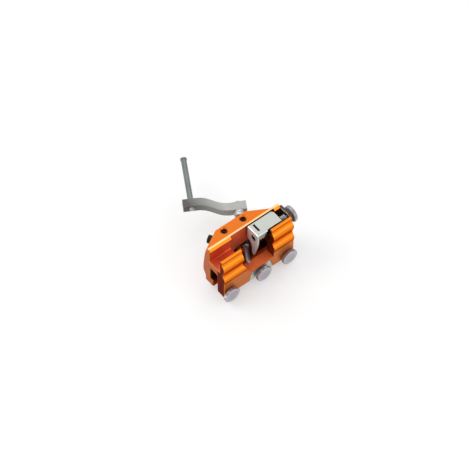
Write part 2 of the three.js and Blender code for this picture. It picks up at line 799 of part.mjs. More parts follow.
// Carriage: threaded barrel with a journal at each end, on a slider guided by the valley
function stopCarriage() {
  const origin = new THREE.Vector3(0, screwAxisY, screwAxisZ);
  const left = stopLeft - gap;
  const right = stopRight + gap + clipThickness + gap;
  const barrel = turned([
    [left, 0], [left, journalRadius], [barrelStart, journalRadius], [barrelStart, barrelRadius],
    [barrelEnd, barrelRadius], [barrelEnd, journalRadius], [right, journalRadius], [right, 0],
  ], alongX, origin);
  const floor = up(valleyHeight) + gap;
  const front = valleyFrontFoot + gap;
  const back = valleyBack - gap;
  const slider = outline([
    [front, floor + slideThickness], [front, floor + valleyCorner],
    [front + valleyCorner, floor], [back - valleyCorner, floor],
    [back, floor + valleyCorner], [back, floor + slideThickness],
    [screwAxisY + slideNeckHalf, floor + slideThickness], [screwAxisY + slideNeckHalf, screwAxisZ],
    [screwAxisY - slideNeckHalf, screwAxisZ], [screwAxisY - slideNeckHalf, floor + slideThickness],
  ]);
  const foot = prism(slider, slideEnd - slideStart, alongY, alongZ, new THREE.Vector3(slideStart, 0, 0));
  const thread = rod(alongX, origin, left - overrun, right + overrun, adjusterRadius + gap, smallSides);
  return part('stop_carriage', cut(barrel.add(foot), [thread]), paint(steelGrey, 0.4, 0.85));
}

// Snap clip: open ring round a shaft along X
function snapClip(name, place, inner, outer) {
  const ring = turned([
    [0, inner], [0, outer], [clipThickness, outer], [clipThickness, inner], [0, inner],
  ], alongX, place);
  const mouth = box(
    new THREE.Vector3(place.x - overrun, place.y - clipMouth, place.z - outer - overrun),
    new THREE.Vector3(place.x + overrun, place.y + clipMouth, place.z),
  );
  return part(name, cut(ring, [mouth]), paint(darkSteel, 0.5, 0.8));
}

// One unbroken wire along a list of points, closed at both ends
function wireGeometry(path, radius) {
  const points = [];
  const faces = [];
  let side = new THREE.Vector3(...wireSideShares).normalize();
  path.forEach((point, i) => {
    const before = path[Math.max(i - 1, 0)];
    const after = path[Math.min(i + 1, path.length - 1)];
    const along = after.clone().sub(before).normalize();
    side = side.clone().addScaledVector(along, -side.dot(along)).normalize();
    const other = new THREE.Vector3().crossVectors(along, side);
    for (let k = 0; k < wireSides; k += 1) {
      const turn = (k / wireSides) * Math.PI * 2;
      const corner = point.clone()
        .addScaledVector(side, radius * Math.cos(turn))
        .addScaledVector(other, radius * Math.sin(turn));
      points.push(corner.x, corner.y, corner.z);
    }
  });
  const last = (path.length - 1) * wireSides;
  for (let i = 0; i < path.length - 1; i += 1) {
    for (let k = 0; k < wireSides; k += 1) {
      const here = i * wireSides + k;
      const next = i * wireSides + (k + 1) % wireSides;
      faces.push(here, next, here + wireSides, next, next + wireSides, here + wireSides);
    }
  }
  for (let k = 1; k < wireSides - 1; k += 1) {
    faces.push(0, k + 1, k);
    faces.push(last, last + k, last + k + 1);
  }
  const geometry = new THREE.BufferGeometry();
  geometry.setAttribute('position', new THREE.BufferAttribute(new Float32Array(points), 3));
  geometry.setIndex(faces);
  return geometry;
}

// Least clear distance between stretches of the same wire that aren't neighbours along it
function wireGap(path, radius) {
  let least = Infinity;
  for (let i = 0; i < path.length; i += 1) {
    for (let j = i + stepsPerCurl / 2; j < path.length; j += 1) {
      least = Math.min(least, path[i].distanceTo(path[j]) - 2 * radius);
    }
  }
  return least;
}

// Curls about the adjusting screw's axis from one place along it, at a steady pitch
function curlPath(start, radius, pitch, curls) {
  const path = [];
  for (let i = 0; i <= curls * stepsPerCurl; i += 1) {
    const turn = (i / stepsPerCurl) * Math.PI * 2;
    path.push(new THREE.Vector3(
      start + pitch * (i / stepsPerCurl),
      screwAxisY + radius * Math.cos(turn),
      screwAxisZ + radius * Math.sin(turn),
    ));
  }
  return path;
}

function spring(name, path, radius) {
  const least = wireGap(path, radius);
  const verdict = least > leastWireGap ? '' : ', too small';
  console.log(`${name}: least gap to itself ${least.toFixed(2)} mm${verdict}`);
  return part(name, solid(wireGeometry(path, radius)), paint(springSteel, 0.3, 0.95));
}

// Push spring on the adjusting screw, between the carriage's clip and the end bracket
function adjusterSpring() {
  const wire = adjusterSpringWire;
  const leftFace = stopRight + gap + clipThickness + gap;
  const rightFace = halfLength;
  const start = leftFace + 3 * wire;
  const end = rightFace - 3 * wire;
  const pitch = (end - start) / adjusterSpringCurls;
  const coil = curlPath(start, adjusterSpringRadius, pitch, adjusterSpringCurls);
  const first = coil[0].clone();
  const last = coil[coil.length - 1].clone();
  first.x = leftFace;
  last.x = rightFace;
  return spring('adjuster_spring', [first, ...coil, last], wire);
}

// Torsion spring round the carriage's barrel, one leg under the thumb plate and one towards the slider
function stopSpring() {
  const wire = stopSpringWire;
  const coil = curlPath(stopSpringStart, stopSpringRadius, stopSpringPitch, stopSpringCurls);
  const upper = coil[coil.length - 1].clone();
  upper.z += stopSpringUpLeg;
  const lower = coil[0].clone();
  lower.z -= stopSpringDownLeg;
  return spring('stop_spring', [lower, ...coil, upper], wire);
}

// End bracket that carries the adjusting screw across the mouth of the valley
function screwBracket() {
  const shape = new THREE.Shape();
  shape.moveTo(-bracketFootFront, up(bracketFootHeight));
  shape.lineTo(bracketBack, up(bracketFootHeight));
  shape.lineTo(bracketBack, up(bracketBackHeight));
  shape.absarc(screwAxisY, screwAxisZ, bracketHeadRadius, bracketSlope, Math.PI);
  shape.lineTo(-bracketFootFront, up(bracketShoulderHeight));
  const place = new THREE.Vector3(halfLength + gap, 0, 0);
  const plate = prism(shape, bracketThickness, alongY, alongZ, place, gap);
  const axisPlace = new THREE.Vector3(halfLength, screwAxisY, screwAxisZ);
  const holes = Object.values(bracketScrewPlaces).map((y) => rod(
    alongX,
    new THREE.Vector3(halfLength, y, up(bracketScrewHeight)),
    -overrun,
    bracketThickness + overrun,
    bracketScrewRadius + gap,
    smallSides,
  ));
  const through = bracketThickness + overrun;
  const hole = rod(alongX, axisPlace, -overrun, through, adjusterRadius + gap, smallSides);
  return part('screw_bracket', cut(plate, [hole, ...holes]), paint(crankGrey, 0.45, 0.85));
}

function bracketScrews() {
  const face = bracketFace + gap;
  return Object.entries(bracketScrewPlaces).map(([name, y]) => {
    const origin = new THREE.Vector3(face, y, up(bracketScrewHeight));
    const screw = turned([
      [-bracketScrewLength, 0], [-bracketScrewLength, bracketScrewRadius], [0, bracketScrewRadius],
      [0, bracketScrewHeadRadius], [bracketScrewHeadHeight / 2, bracketScrewHeadRadius],
      [bracketScrewHeadHeight, bracketScrewRadius], [bracketScrewHeadHeight, 0],
    ], alongX, origin, smallSides);
    return part(`bracket_screw_${name}`, screw, paint(darkSteel, 0.45, 0.8));
  });
}

function adjuster() {
  const face = new THREE.Vector3(adjustKnobPlace + knobThickness, screwAxisY, screwAxisZ);
  const origin = new THREE.Vector3(0, screwAxisY, screwAxisZ);
  const backward = alongX.clone().negate();
  const knob = knurledKnob(backward, alongZ, alongY, face, adjusterRadius);
  const end = adjustKnobPlace + knobSocketDepth - gap;
  const screw = pinned(alongX, origin, adjusterStart, end, adjusterRadius, gap, smallSides);
  return [
    part('adjusting_screw', screw, paint(steelGrey, 0.35, 0.9)),
    part('adjusting_knob', knob, paint(brightSteel, 0.4, 0.85)),
  ];
}

const clipPlace = new THREE.Vector3(stopRight + gap, screwAxisY, screwAxisZ);

const sharpener = new THREE.Group();
sharpener.add(
  body(),
  ...bushings(),
  ...cutter(),
  ...crank(),
  screwInsert(),
  ...clamps(),
  chainStop(),
  stopCarriage(),
  snapClip('carriage_clip', clipPlace, journalRadius + gap, clipRadius),
  stopSpring(),
  ...adjuster(),
  adjusterSpring(),
  screwBracket(),
  ...bracketScrews(),
);

export default sharpener;
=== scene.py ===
import bpy
import bmesh
import json
import math
from mathutils import Matrix, Vector


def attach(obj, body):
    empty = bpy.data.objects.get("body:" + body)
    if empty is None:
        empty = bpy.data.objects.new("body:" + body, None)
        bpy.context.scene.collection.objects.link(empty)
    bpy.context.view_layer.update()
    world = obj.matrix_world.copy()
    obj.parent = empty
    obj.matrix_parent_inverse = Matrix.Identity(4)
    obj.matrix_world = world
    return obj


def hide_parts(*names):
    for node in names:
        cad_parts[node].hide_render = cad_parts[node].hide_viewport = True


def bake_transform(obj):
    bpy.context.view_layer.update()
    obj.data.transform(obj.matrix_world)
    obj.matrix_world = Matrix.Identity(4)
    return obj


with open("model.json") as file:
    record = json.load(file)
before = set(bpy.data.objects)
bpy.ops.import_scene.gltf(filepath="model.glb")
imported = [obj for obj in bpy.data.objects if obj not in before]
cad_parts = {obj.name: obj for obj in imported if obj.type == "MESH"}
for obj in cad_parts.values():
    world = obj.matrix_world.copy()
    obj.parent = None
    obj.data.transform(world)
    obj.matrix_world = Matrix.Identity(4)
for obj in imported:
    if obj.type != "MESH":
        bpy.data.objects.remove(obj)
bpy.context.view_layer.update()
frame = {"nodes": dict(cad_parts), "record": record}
mm = 0.001
record = frame["record"]
bodyOf = {node: body for body, nodes in record["behaviour"]["bodies"].items() for node in nodes}
slotOf = {row["node"]: row["material_slot"] for row in record["subparts"]}
jointOf = {row["name"]: row for row in record["behaviour"]["joints"]}
alongX, alongY, alongZ = Vector((1, 0, 0)), Vector((0, 1, 0)), Vector((0, 0, 1))
facing = 0.9  # a face is turned towards an axis when its normal has more than this share of it
print("frame loaded:", len(frame["nodes"]), "nodes")


# values in a material, with arithmetic
class Wire:
    def __init__(self, finish, socket):
        self.finish, self.socket = finish, socket

    def combine(self, operation, first, second, clamp=False):
        settings = {"operation": operation, "use_clamp": clamp}
        return self.finish.add("ShaderNodeMath", settings, {0: first, 1: second})

    def __add__(self, other):
        return self.combine("ADD", self, other)

    def __radd__(self, other):
        return self.combine("ADD", other, self)

    def __sub__(self, other):
        return self.combine("SUBTRACT", self, other)

    def __rsub__(self, other):
        return self.combine("SUBTRACT", other, self)

    def __mul__(self, other):
        return self.combine("MULTIPLY", self, other)

    def __rmul__(self, other):
        return self.combine("MULTIPLY", other, self)

    def clamped(self):
        return self.combine("MULTIPLY", self, 1.0, clamp=True)


class Finish:
    def __init__(self, name):
        self.material = bpy.data.materials.new(name)
        self.material.use_nodes = True
        self.tree = self.material.node_tree
        self.tree.nodes.clear()
        self.shader = self.tree.nodes.new("ShaderNodeBsdfPrincipled")
        output = self.tree.nodes.new("ShaderNodeOutputMaterial")
        self.tree.links.new(self.shader.outputs[0], output.inputs[0])

    def feed(self, socket, value):
        if isinstance(value, Wire):
            self.tree.links.new(value.socket, socket)
        else:
            socket.default_value = value

    def surface(self, name, value):
        self.feed(self.shader.inputs[name], value)

    def add(self, kind, settings=None, inputs=None, output=0):
        node = self.tree.nodes.new(kind)
        for key, value in (settings or {}).items():
            setattr(node, key, value)
        for key, value in (inputs or {}).items():
            self.feed(node.inputs[key], value)
        return Wire(self, node.outputs[output])

    def blend(self, factor, first, second):  # a Mix node's colours are its inputs 6 and 7 and its output 2
        return self.add("ShaderNodeMix", {"data_type": "RGBA"}, {0: factor, 6: first, 7: second}, 2)

    def noise(self, place, scale, detail, roughness):
        stretched = self.add("ShaderNodeVectorMath", {"operation": "MULTIPLY"}, {0: place, 1: scale})
        return self.add("ShaderNodeTexNoise", {}, {"Vector": stretched, "Scale": 1.0, "Detail": detail,
                                                   "Roughness": roughness})

    def attribute(self, name):
        return self.add("ShaderNodeAttribute", {"attribute_name": name}, {}, "Fac")

    def part(self, vector, axis):
        return self.add("ShaderNodeSeparateXYZ", {}, {0: vector}, axis)


def rgb(text):
    parts = [int(text[i:i + 2], 16) / 255 for i in (0, 2, 4)]
    return tuple(c / 12.92 if c <= 0.04045 else ((c + 0.055) / 1.055) ** 2.4 for c in parts) + (1.0,)


def metal(name, look):
    finish = Finish(name)
    place = finish.add("ShaderNodeTexCoord", {}, {}, "Object")
    clouds = finish.noise(place, (look["cloud"],) * 3, look["detail"], look["cloudRoughness"])
    if "rings" in look:  # lathe marks follow the distance along and out from the turning axis
        lines = finish.add("ShaderNodeTexNoise", {"noise_dimensions": "1D"}, {
            "W": finish.attribute("lathe") * look["rings"], "Detail": look["detail"],
            "Roughness": look["ringRoughness"]})
    else:
        lines = finish.noise(place, look["grain"], look["detail"], look["grainRoughness"])
    specks = finish.noise(place, (look["specks"],) * 3, look["speckDetail"], look["cloudRoughness"])
    cloudSwing, lineSwing = clouds - 0.5, lines - 0.5  # a noise swings about one half
    color = finish.blend((cloudSwing * look["patch"] + lineSwing * look["streak"] + 0.5).clamped(),
                         rgb(look["dark"]), rgb(look["light"]))
    # broken edges turn lighter: partly edge wear, partly a painted highlight along the chamfers
    wearAndSheen = clouds * look["wearClouds"] + look["wearLeast"]
    edge = (finish.attribute("edge") * look["edgeWearAndSheen"] * wearAndSheen).clamped()
    color = finish.blend(edge, color, rgb(look["bare"]))
    if "under" in look:  # painted shade: the colour turns darker where the faces turn down
        share, tint = look["under"]
        upward = finish.part(finish.add("ShaderNodeTexCoord", {}, {}, "Normal"), "Z")
        shadedBelow = ((look["downFrom"] - upward) * look["downRise"]).clamped()
        color = finish.blend(shadedBelow * share, color, rgb(tint))
    metallic = look["metallic"]
    for zone in look.get("zones", []):  # a zone leaves its broken edges bright, and may fade along an axis
        inside = finish.attribute(zone["on"]) * (1 - finish.attribute("edge") * look["edgeKept"])
        if "fade" in zone:
            axis, start, end = zone["fade"]
            along = finish.part(place, axis)
            inside = inside * ((along - start * mm) * (1 / (end - start) / mm)).clamped()
        color = finish.blend((inside * zone["share"]).clamped(), color, rgb(zone["tint"]))
        metallic = metallic - inside * zone["dull"]
    finish.surface("Base Color", color)
    finish.surface("Roughness", (look["rough"] + lineSwing * look["spread"] + cloudSwing * look["smudge"]
                                 - edge * look["polish"]).clamped())
    finish.surface("Metallic", metallic)
    bump = {"Strength": look["bump"], "Distance": look["bumpDepth"] * mm,
            "Height": lines * look["relief"] + specks * look["speck"]}
    finish.surface("Normal", finish.add("ShaderNodeBump", {}, bump))
    finish.surface("Specular Tint", rgb(look["rim"]))
    return finish.material


plain = {"cloud": 90.0, "grain": (900.0, 900.0, 900.0), "specks": 2600.0, "detail": 4.0, "speckDetail": 2.0,
         "cloudRoughness": 0.55, "grainRoughness": 0.65, "ringRoughness": 0.7, "patch": 0.7, "streak": 0.8,
         "edgeWearAndSheen": 0.6, "wearClouds": 0.6, "wearLeast": 0.55, "edgeKept": 0.8, "downFrom": 0.3,
         "downRise": 2.2, "rough": 0.32, "spread": 0.25, "smudge": 0.08, "polish": 0.06, "metallic": 1.0,
         "relief": 0.35, "speck": 0.12, "bump": 0.6, "bumpDepth": 0.1, "bare": "F4F4F2", "rim": "FFFFFF"}
looks = {
    "orange_anodised": plain | {"grain": (25.0, 3200.0, 3200.0), "dark": "E5741A", "light": "F4922C",
                                "bare": "FFD08A", "rough": 0.3, "metallic": 0.92, "edgeWearAndSheen": 0.5, "patch": 0.5,
                                # painted shade darkens the downward faces
                                "rim": "FF9C3C", "under": (0.7, "AC5C1A"), "zones": [
                                    {"on": "shelf", "share": 0.6, "tint": "DC6E30", "dull": 0.1},
                                    # painted shade: the valley and the window's pocket are darker and redder
                                    {"on": "recessShade", "share": 0.85, "tint": "E2664A", "dull": 0.4},
                                    # painted shadow under the stop plate: the recess faces turn nearly black
                                    # from X 1 to 7 mm
                                    {"on": "recessShade", "share": 0.85, "tint": "56200F", "dull": 0.0,
                                     "fade": ("X", 1.0, 7.0)},
                                    # painted shade inside the slot
                                    {"on": "slot", "share": 0.85, "tint": "4A2414", "dull": 0.0},
                                    # painted light: the sill's top is lighter and less metallic
                                    {"on": "sill", "share": 0.95, "tint": "FF7A46", "dull": 0.8},
                                    # painted shade: the flat foot of the front wall is darker and duller
                                    {"on": "foot", "share": 0.5, "tint": "C87850", "dull": 0.55},
                                    # end faces: a rougher sawn tone, partly painted shade
                                    {"on": "sawnAndShaded", "share": 0.7, "tint": "A26C5C", "dull": 0.35},
                                    # painted shade: the end faces turn near black towards the front, from Y
                                    # -5.5 to -8 mm
                                    {"on": "sawnAndShaded", "share": 0.95, "tint": "2E2B06", "dull": -0.3,
                                     "fade": ("Y", -5.5, -8.0)},
                                    # painted highlight: a cream line along the rib's crest
                                    {"on": "crest", "share": 0.8, "tint": "FFE3A8", "dull": 0.0},
                                ]},
    "bright_steel": plain | {"rings": 9.0, "dark": "B9BCC0", "light": "DDDFE1"},
    "knob_metal": plain | {"rings": 5.0, "dark": "A29DA3", "light": "C2BDC4", "rough": 0.4,
                           "metallic": 0.85},
    "stainless_sheet": plain | {"grain": (60.0, 2600.0, 2600.0), "dark": "B6BAB4", "light": "D0D4CC",
                                "rough": 0.34, "metallic": 0.9, "zones": [
                                    # painted shade on the slit's walls
                                    {"on": "slit", "share": 0.95, "tint": "1E2022", "dull": 0.0},
                                    # painted shade on the lip's front face
                                    {"on": "lip", "share": 0.7, "tint": "6A6C70", "dull": 0.0},
                                    # painted light: the flange's side faces are lighter and duller
                                    {"on": "flange", "share": 0.85, "tint": "D8CCCA", "dull": 0.8},
                                ]},
    "steel": plain | {"rings": 7.0, "dark": "9C9EA0", "light": "C4C6C8"},
    "crank_metal": plain | {"grain": (1500.0, 1500.0, 120.0), "dark": "9E9F9C", "light": "C4C5C1",
                            # painted shade darkens the downward faces
                            "rough": 0.42, "metallic": 0.85, "under": (0.5, "5E6262"), "zones": [
                                # painted shade: the crank arm darkens from X 12 mm towards -14 mm
                                {"on": "arm", "share": 0.9, "tint": "565350", "dull": 0.0,
                                 "fade": ("X", 12.0, -14.0)},
                            ]},
    "dark_steel": plain | {"dark": "25211F", "light": "433E3B", "bare": "8A8B8E", "rough": 0.45,
                           "metallic": 0.8},
    "spring_steel": plain | {"dark": "AEB0B0", "light": "E2E2E0", "rough": 0.22},
    "carbide": plain | {"dark": "77797D", "light": "A9ABB0", "rough": 0.36, "bare": "E4E6EA"},
    "brass": plain | {"rings": 8.0, "dark": "A98542", "light": "D0AE66", "bare": "F0DCA0"},
}
looks["insert_plate"] = looks["stainless_sheet"] | {"dark": "AEB1B0", "light": "D3D5D2"}
# painted shade: the carriage is darkened all over, for its place under the stop plate
looks["carriage_shade_steel"] = looks["steel"] | {"dark": "34322E", "light": "5A5850"}
# painted shade: the bracket is dark brown all over, for its place in the recess by the knob
looks["bracket_shade_steel"] = looks["crank_metal"] | {"dark": "46382E", "light": "6A584A"}
looks["grip_steel"] = looks["steel"] | {"dark": "6E7472", "light": "969C98"}
looks["bushing_steel"] = looks["dark_steel"] | {"rings": 8.0, "dark": "181612", "light": "2E2A24",
                                                "bare": "C6C4BE", "edgeWearAndSheen": 0.7, "rough": 0.3}
finishes = {name: metal(name, look) for name, look in looks.items()}
print("materials made:", len(finishes))


def jointAt(name):  # to a tenth of a micrometre
    return Vector([round(value / mm, 4) for value in jointOf[name]["pos_m"]])


def reachOf(node, axis, origin):  # start, end, least and greatest radius of a node round an axis
    places = [vertex.co / mm - origin for vertex in frame["nodes"][node].data.vertices]
    along = [place.dot(axis) for place in places]
    radii = [(place - axis * at).length for place, at in zip(places, along)]
    return [round(value, 3) for value in (min(along), max(along), min(radii), max(radii))]


def addPiece(name, mesh, node, finish=None, rides=True):
    shape = bpy.data.objects.new(name, mesh)
    bpy.context.scene.collection.objects.link(shape)
    mesh.materials.clear()
    mesh.materials.append(finishes[finish or slotOf[node]])
    if rides:
        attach(shape, bodyOf[node])
    return shape


def baked(name, mesh, modify):  # runs modifiers on a stand-by object and keeps the mesh
    helper = bpy.data.objects.new(name, mesh)
    bpy.context.scene.collection.objects.link(helper)
    modify(helper)
    bpy.context.view_layer.update()
    result = bpy.data.meshes.new_from_object(helper.evaluated_get(bpy.context.evaluated_depsgraph_get()))
    bpy.data.objects.remove(helper)
    result.name = name
    return result


# how edges are broken and shaded: angles in degrees, merging distance in metres
edges = {"merge": 1e-6, "flat": 0.5, "sharp": 26, "smooth": 50, "foldSteps": 5, "weight": 60}


def weighted(helper):
    step = helper.modifiers.new("normals", "WEIGHTED_NORMAL")
    step.keep_sharp = True
    step.weight = edges["weight"]


def settled(name, shape, smooth=edges["smooth"]):  # smooth shading, sharp where faces turn hard
    for edge in shape.edges:
        edge.smooth = len(edge.link_faces) == 2 and edge.calc_face_angle(0) < math.radians(smooth)
    for face in shape.faces:
        face.smooth = True
    mesh = bpy.data.meshes.new(name)
    shape.to_mesh(mesh)
    shape.free()
    return baked(name, mesh, weighted)


def rounded(shape, width, steps=2, sharp=edges["sharp"], chosen=None):
    broken = [
        edge for edge in shape.edges
        if len(edge.link_faces) == 2 and edge.calc_face_angle(0) > math.radians(sharp)
        and (chosen is None or chosen(edge))
    ]
    layer = shape.faces.layers.float.get("edge") or shape.faces.layers.float.new("edge")
    if broken:
        made = bmesh.ops.bevel(shape, geom=broken, offset=width * mm, segments=steps, profile=0.5,
                               affect="EDGES", clamp_overlap=True)
        for face in made["faces"]:
            face[layer] = 1.0


# a copy of a CAD node with broken edges, and with zones for its finish and for painted shade and light
def dressed(node, width=0.2, steps=2, sharp=edges["sharp"], folds=(), zones=None, move=None, finish=None):
    shape = bmesh.new()
    shape.from_mesh(frame["nodes"][node].data)
    bmesh.ops.remove_doubles(shape, verts=shape.verts, dist=edges["merge"])
    bmesh.ops.dissolve_limit(shape, angle_limit=math.radians(edges["flat"]), verts=shape.verts,
                             edges=shape.edges)
    for vertex in shape.verts if move else []:
        vertex.co = move(vertex.co / mm) * mm
    for zone, inside in (zones or {}).items():
        layer = shape.faces.layers.float.new(zone)
        for face in shape.faces:
            centre = face.calc_center_median() / mm
            face[layer] = 1.0 if inside(centre, face.normal) else 0.0
    for chosen, foldWidth in folds:
        rounded(shape, foldWidth, edges["foldSteps"], sharp, chosen)
    rounded(shape, width, steps, sharp)
    piece = addPiece("look_" + node, settled(node + "_look", shape), node, finish)
    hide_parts(node)


def onto(axis, origin):  # carries a shape drawn along Z onto an axis
    return Matrix.Translation(origin * mm) @ alongZ.rotation_difference(axis).to_matrix().to_4x4()


def ringAt(shape, along, reaches, lead=0.0):
    ring = []
    for k, reach in enumerate(reaches):
        turn = 2 * math.pi * k / len(reaches) + lead
        ring.append(shape.verts.new((reach * mm * math.cos(turn), reach * mm * math.sin(turn), along * mm)))
    return ring


def tubeOf(shape, rings, axis, origin):  # walls between rings, with both ends closed
    for first, second in zip(rings, rings[1:]):
        for k in range(len(first)):
            beside = (k + 1) % len(first)
            shape.faces.new((first[k], first[beside], second[beside], second[k]))
    shape.faces.new(rings[0])
    shape.faces.new(rings[-1])
    bmesh.ops.recalc_face_normals(shape, faces=shape.faces)
    shape.transform(onto(axis, origin))


def turnedShape(profile, axis, origin, sides):  # rows of the profile are places along the axis and radii
    shape = bmesh.new()
    rings = [
        ringAt(shape, along, [radius] * sides) if radius else [shape.verts.new((0, 0, along * mm))]
        for along, radius in profile
    ]
    pairs = list(zip(rings, rings[1:]))
    if profile[0][1]:
        pairs.append((rings[-1], rings[0]))  # a bored piece closes on itself
    for first, second in pairs:
        for k in range(sides):
            beside = (k + 1) % sides
            corners = [first[k % len(first)], first[beside % len(first)],
                       second[beside % len(second)], second[k % len(second)]]
            face = list(dict.fromkeys(corners))
            if len(face) > 2:
                shape.faces.new(face)
    bmesh.ops.recalc_face_normals(shape, faces=shape.faces)
    shape.transform(onto(axis, origin))
    return shape


def latheMarks(mesh, axis, origin):
    marks = mesh.attributes.new("lathe", "FLOAT", "POINT")
    for vertex, mark in zip(mesh.vertices, marks.data):
        offset = vertex.co - origin * mm
        along = offset.dot(axis)
        mark.value = (along + (offset - axis * along).length) / mm


def turnedPiece(name, node, profile, axis, origin, width=0.2, sides=64, finish=None):
    shape = turnedShape(profile, axis, origin, sides)
    rounded(shape, width)
    mesh = settled(name, shape)
    latheMarks(mesh, axis, origin)
    piece = addPiece(name, mesh, node, finish=finish)
    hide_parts(node)


# threaded rod: the radius follows a rounded wave along a helix, and runs out at both ends
thread = {"sides": 28, "perPitch": 6, "runOut": 0.6, "smooth": 60}


def threadedPiece(name, node, pitch, depth, axis, origin, neck=None):
    start, end, _, radius = reachOf(node, axis, origin)
    length = end - start - (neck["length"] if neck else 0)
    sides = thread["sides"]
    shape = bmesh.new()
    count = int(length / pitch * thread["perPitch"])
    rings = []
    for row in range(count + 1):
        onward = length * row / count
        along = start + onward
        taper = min(1.0, onward / pitch, (length - onward) / pitch)
        phases = [(along / pitch - k / sides) % 1.0 for k in range(sides)]
        crest = radius - (1 - taper) * depth * thread["runOut"]
        rings.append(ringAt(shape, along, [
            crest - (1 + math.cos(2 * math.pi * phase)) / 2 * depth for phase in phases
        ]))
    if neck:
        rings += [ringAt(shape, along, [neck["radius"]] * sides) for along in (end - neck["length"], end)]
    tubeOf(shape, rings, axis, origin)
    mesh = settled(name, shape, thread["smooth"])
    latheMarks(mesh, axis, origin)
    piece = addPiece(name, mesh, node)
    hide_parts(node)


print("helpers ready")

# saddle body, with zones for painted shade in its recesses and on its sawn ends and drawn faces, painted
# light on its sill and a painted highlight on its crest: (low, high) pairs and levels
saddle = {"window": (-18.9, 18.2), "valley": (-13.0, 6.5), "floor": 10.6, "lip": 44.0, "end": 42.4,
          "inner": -6.0, "sill": 11.0, "slot": (-6.6, 5.0), "roof": 22.0, "front": -17.0, "foot": 17.6,
          "shelf": 42.5, "rib": (5.5, 9.0), "crest": 48.9, "near": 0.1, "nearSill": 0.3}


def isBetween(value, pair):
    return pair[0] < value < pair[1]


def isLitSill(centre, normal):
    inside = isBetween(centre.x, saddle["window"]) and centre.y < saddle["inner"]
    return inside and abs(centre.z - saddle["sill"]) < saddle["nearSill"] and normal.z > facing


# faces of the valley and the window's pocket, where shade is painted
def isRecessShade(centre, normal):
    low = isBetween(centre.z, (saddle["floor"], saddle["lip"]))
    inValley = isBetween(centre.y, saddle["valley"]) and low
    inWindow = isBetween(centre.x, saddle["window"]) and centre.z > saddle["floor"]
    behindWindow = inWindow and centre.y < saddle["valley"][1]
    return (inValley or behindWindow) and abs(centre.x) < saddle["end"] and not isLitSill(centre, normal)


# faces inside the slot, where shade is painted
def isSlotShade(centre, normal):
    return isBetween(centre.y, saddle["slot"]) and centre.z < saddle["roof"] and abs(normal.x) < facing


def isShelf(centre, normal):
    return abs(centre.z - saddle["shelf"]) < saddle["near"] and normal.z > facing


def isSawnAndShaded(centre, normal):
    return abs(centre.x) > saddle["end"] and abs(normal.x) > facing


def isFootShade(centre, normal):
    return centre.y < saddle["front"] and centre.z < saddle["foot"] and normal.y < -facing


# the rib's top, where a highlight is painted
def isCrestHighlight(centre, normal):
    return centre.z > saddle["crest"] and isBetween(centre.y, saddle["rib"])


# front wall's outside from lip to low ridge: a curve through a few places (Y, Z), split at crest and groove
ridges = {"inside": -12.6, "near": 1.0, "endNear": 0.2, "levelNear": 0.05, "steps": 12,
          "breaks": (49.5, 43.3, 33.9, 23.3), "splits": (0, 5, 7, 10), "keys": [
              (-13.0, 49.5), (-13.8, 48.6), (-13.75, 46.0), (-14.4, 44.1), (-16.5, 41.9), (-17.6, 38.5),
              (-16.5, 34.8), (-15.25, 29.9), (-15.9, 27.2), (-17.5, 25.3), (-18.4, 23.3),
          ]}


def throughKeys(keys, first, last):  # rounded curve through the keys from the first to the last
    places = [Vector(keys[first])]
    for i in range(first, last):
        around = [min(max(j, 0), len(keys) - 1) for j in range(i - 1, i + 3)]
        before, here, there, after = (Vector(keys[j]) for j in around)
        for step in range(1, ridges["steps"] + 1):
            t = step / ridges["steps"]
            bend = (there - before) * (t - 2 * t * t + t ** 3) / 2 + (after - here) * (t ** 3 - t * t) / 2
            places.append(here * (1 - 3 * t * t + 2 * t ** 3) + there * (3 * t * t - 2 * t ** 3) + bend)
    return places


def shares(line):  # how far along the line each of its places is, from 0 to 1
    far = [0.0]
    for here, there in zip(line, line[1:]):
        far.append(far[-1] + (there - here).length)
    return [value / far[-1] for value in far]


def placeAt(line, share):
    marks = shares(line)
    i = next(i for i in range(1, len(marks)) if marks[i] >= share - edges["merge"])
    return line[i - 1].lerp(line[i], (share - marks[i - 1]) / (marks[i] - marks[i - 1]))


# the wall as the CAD draws it, from top to bottom, and how far each of its places moves
drawn = sorted({
    (round(v.co.z / mm, 2), round(v.co.y / mm, 2)) for v in frame["nodes"]["body"].data.vertices
    if abs(v.co.x / mm + saddle["end"]) < ridges["endNear"] and v.co.y / mm < ridges["inside"]
}, reverse=True)
ridgeSteps = []
levels, splits = ridges["breaks"], ridges["splits"]
for top, foot, first, last in zip(levels, levels[1:], splits, splits[1:]):
    reachable = (foot - ridges["levelNear"], top + ridges["levelNear"])
    section = [Vector((y, z)) for z, y in drawn if isBetween(z, reachable)]
    wanted = throughKeys(ridges["keys"], first, last)
    ridgeSteps += [(here, placeAt(wanted, share) - here) for here, share in zip(section, shares(section))]


def settleRidges(point):  # a point near the drawn outside moves as the nearest place on it does
    if point.y > ridges["inside"] or point.z < ridges["breaks"][-1]:
        return point
    flat, least, shift = Vector((point.y, point.z)), ridges["near"], Vector((0, 0))
    for (first, firstShift), (second, secondShift) in zip(ridgeSteps, ridgeSteps[1:]):
        span = second - first
        if span.length < edges["merge"]:
            continue
        share = min(1.0, max(0.0, (flat - first).dot(span) / span.length_squared))
        away = (flat - first - span * share).length
        if away < least:
            least, shift = away, firstShift.lerp(secondShift, share)
    return point + Vector((0, shift.x, shift.y))


dressed("body", width=0.22, sharp=24, move=settleRidges, zones={
    "recessShade": isRecessShade, "sill": isLitSill, "slot": isSlotShade, "shelf": isShelf, "sawnAndShaded": isSawnAndShaded, "foot": isFootShade,
    "crest": isCrestHighlight,
})
print("body dressed")

